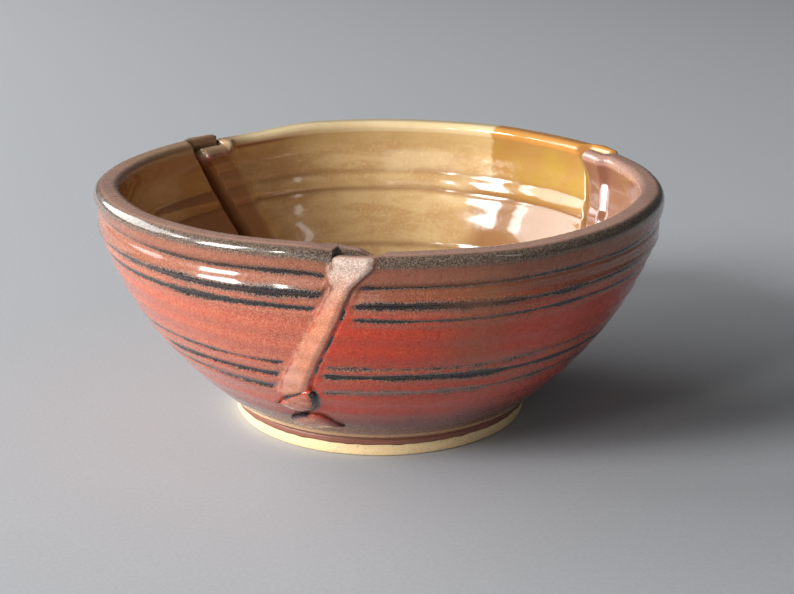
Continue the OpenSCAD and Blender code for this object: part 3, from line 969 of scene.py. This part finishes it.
    # the crease is darkest between about 27 and 49 mm: glaze pooled in it, and painted shade
    crease_pool_and_shade = 0.25 + 0.75 * ease((z - 27) / 4) * ease((49 - z) / 3)
    marks = {
        "groove": np.maximum(groove_mark, tab_shadow_mark) * outside_face,
        "ridge": ridge_mark * outside_face,
        "crease": crease * (over < 0.4) * crease_pool_and_shade,
        "strap": np.maximum(strap_mark, before_lap) * ease((z - strap_foot - 2.5) / 4.5),
        "rim_roll": roll_band,
        "rim_top": top_band,
        "liner": inner_mark,
        "ring": np.maximum(ring_mark * (over > 2.9), painted_ledge_shadow),
        "torn": np.clip(ledge_mark * 1.2, 0, 1) * np.ones_like(bearing),
        **colors,
    }
    return skin(name + "_shell", on_wheel(radius, bearing, height), marks, closed=False)


for name in leaves:
    fitted(leaf_shell(name), wall_glaze, "wall_glaze", name)

# ---- Slip in the laps --------------------------------------------------------------------------
# Wet clay painted on both faces of a lap before they were pressed together. It fills the space
# between two leaves and shows only as a hairline where a leaf ends.

slip_stop = 2.4
slip_top = rim_height - roll_height - slip_stop
slip_rows = 60
slip_columns = 24

slip_clay, tree, shader = new_finish("slip_clay")
slip_color = mixed(tree, cloud(tree, 1.5), tint(128, 92, 74), tint(160, 122, 98))
slip_color = with_specks(tree, slip_color, tint(84, 60, 50), 0.6)
tree.links.new(slip_color, shader.inputs["Base Color"])
tree.links.new(between(tree, cloud(tree, 0.8), 0.3, 0.7, 0.45, 0.65), shader.inputs["Roughness"])
tree.links.new(bumped(tree, cloud(tree, 0.6), 0.1), shader.inputs["Normal"])


def slip_layer(name, seam):
    """The slip in one lap, between the inner leaf's outer face and the outer leaf's inner face."""
    up = np.linspace(dish_height, slip_top, slip_rows)
    z = np.concatenate([up, up[::-1]])[None, :]
    side = np.concatenate([np.ones(slip_rows), -np.ones(slip_rows)])[None, :]
    share = np.linspace(0.02, 0.96, slip_columns)[:, None]
    bearing = lap_start(seam, z) + (lap_end(seam, z) - lap_start(seam, z)) * share
    past_edge = (bearing - lap_start(seam, z)) * np.radians(middle_line(z))
    middle = drawn_middle(bearing, z)
    edge_line = middle + (thickness(z) - slip_thickness) / 2 - edge_thickness
    line = edge_line + (middle - edge_line) * ease(past_edge / edge_taper)
    return skin(name, on_wheel(line + side * slip_thickness / 2, bearing, z), {}, closed=False)


for name, seam in seams.items():
    fitted(slip_layer(f"slip_{name}_layer", seam), slip_clay, "slip_clay", f"slip_{name}")

# ---- Tuck tabs ---------------------------------------------------------------------------------
# Two small tabs of clay at the foot of each lap, pinched out of the leaves and folded over the
# end of the cut to close it. Each is a pointed petal pressed down at its tips, with painted shade
# under its lifted edge and on the wall round it.

petal_rings = 14
petal_sink = 0.7
edge_lift = 0.7


def petal(name, seam, outline, peak, lifted_shaded_sides):
    """A petal on the wall; its outline runs in mm from the lap's middle and in mm of height."""
    edge = closed_curve(outline, petal_spokes)[::-1]
    centre = edge.mean(0)
    ring = np.linspace(0.04, 1, petal_rings)
    ring = np.concatenate([ring, ring[::-1]])[None, :, None]
    face = np.concatenate([np.ones(petal_rings), np.zeros(petal_rings)])[None, :]
    flat = centre + (edge[:, None, :] - centre) * ring
    z = flat[..., 1]
    bearing = seam_at(seam, z) + arc(flat[..., 0], z)
    lifted = lift_and_shade_share(edge, lifted_shaded_sides)[:, None]
    reach = ring[..., 0]
    dome = np.sqrt(np.clip(1 - reach**2.4, 0, 1))
    ground = drawn_middle(bearing, z) + thickness(z) / 2
    lift = peak * dome + edge_lift * lifted * reach**3
    radius = ground + np.where(face > 0.5, lift, -petal_sink)
    # painted shade: dark under the lifted edge and on the sunk underside
    pool_and_shade = ease((reach - 0.76) / 0.1) * ease(lifted * 2.4) * face
    marks = {
        "ridge": 0.5 * ease((0.95 - reach) / 0.2) * face,
        "strap": 0.52 * ease((0.9 - reach) / 0.3) * face,
        "groove": np.maximum(pool_and_shade, 0.9 * (1 - face)),
    }
    return skin(name, on_wheel(radius, bearing, z), marks, closed=True)


for seam_name, seam in seams.items():
    for tuck_name, shape in petals.items():
        piece = petal(f"{tuck_name}_{seam_name}_petal", seam, **shape)
        fitted(piece, wall_glaze, "wall_glaze", f"{tuck_name}_{seam_name}")

# ---- Table, light and camera -------------------------------------------------------------------
# A plain pale table with a matt top. Soft light falls from tall windows at the left, a fill in
# front and a narrow window at the far right, and the camera looks from a little above.

floor_size = 8.0
floor_mesh = bpy.data.meshes.new("table_top")
half = floor_size / 2
floor_mesh.from_pydata(
    [(-half, -half, 0), (half, -half, 0), (half, half, 0), (-half, half, 0)], [], [(0, 1, 2, 3)])
table_top = bpy.data.objects.new("table_top", floor_mesh)
bpy.context.scene.collection.objects.link(table_top)
table_gray, tree, shader = new_finish("table_gray")
gray = mixed(tree, cloud(tree, 1.0, 3.0), tint(158, 161, 164), tint(176, 178, 181))
tree.links.new(gray, shader.inputs["Base Color"])
shader.inputs["Roughness"].default_value = 0.75
table_top.data.materials.append(table_gray)


def window(name, toward, distance, width, tall, power):
    """A soft window of light that faces the bowl; toward is the way from the bowl to it."""
    light = bpy.data.lights.new(name, "AREA")
    light.shape = "RECTANGLE"
    light.size = width
    light.size_y = tall
    light.energy = power
    lamp = bpy.data.objects.new(name, light)
    bpy.context.scene.collection.objects.link(lamp)
    way = Vector(toward).normalized()
    lamp.location = Vector((0, 0, rim_height * mm)) + way * distance
    lamp.rotation_euler = way.to_track_quat("Z", "Y").to_euler()


window("front_window", toward=(-0.79, -0.42, 0.43),
       distance=2.2, width=0.66, tall=0.92, power=58.0)
window("side_window", toward=(-0.84, 0.39, 0.40),
       distance=1.8, width=1.6, tall=0.9, power=30.0)
window("middle_window", toward=(-0.89, -0.08, 0.43),
       distance=2.0, width=0.2, tall=0.5, power=6.0)
window("narrow_window", toward=(-0.544, -0.696, 0.469),
       distance=2.2, width=0.14, tall=0.5, power=7.0)
window("far_window", toward=(0.60, -0.42, 0.70),
       distance=2.2, width=0.12, tall=0.7, power=1.1)
window("front_fill", toward=(-0.35, -0.90, 0.26),
       distance=2.0, width=1.5, tall=0.75, power=4.0)

world = bpy.data.worlds.new("room")
world.use_nodes = True
room = world.node_tree.nodes["Background"]
room.inputs["Color"].default_value = (0.95, 0.98, 1.0, 1.0)
room.inputs["Strength"].default_value = 0.07
bpy.context.scene.world = world
bpy.context.scene.view_settings.view_transform = "Standard"

camera_distance = 0.384
camera_elevation = np.radians(18.05)
camera_tilt = np.radians(-0.32)
camera_turn = np.radians(-0.64)
bowl_middle = Vector((0, 0, rim_height * mm / 2))
camera = bpy.data.objects.new("camera", bpy.data.cameras.new("camera"))
camera.data.sensor_width = 36
camera.data.lens = 68.0
bpy.context.scene.collection.objects.link(camera)
back = Vector((0, -np.cos(camera_elevation), np.sin(camera_elevation)))
camera.location = bowl_middle + back * camera_distance
turned_away = Euler((camera_tilt, camera_turn, 0)).to_quaternion()
camera.rotation_mode = "QUATERNION"
camera.rotation_quaternion = back.to_track_quat("Z", "Y") @ turned_away
bpy.context.scene.camera = camera
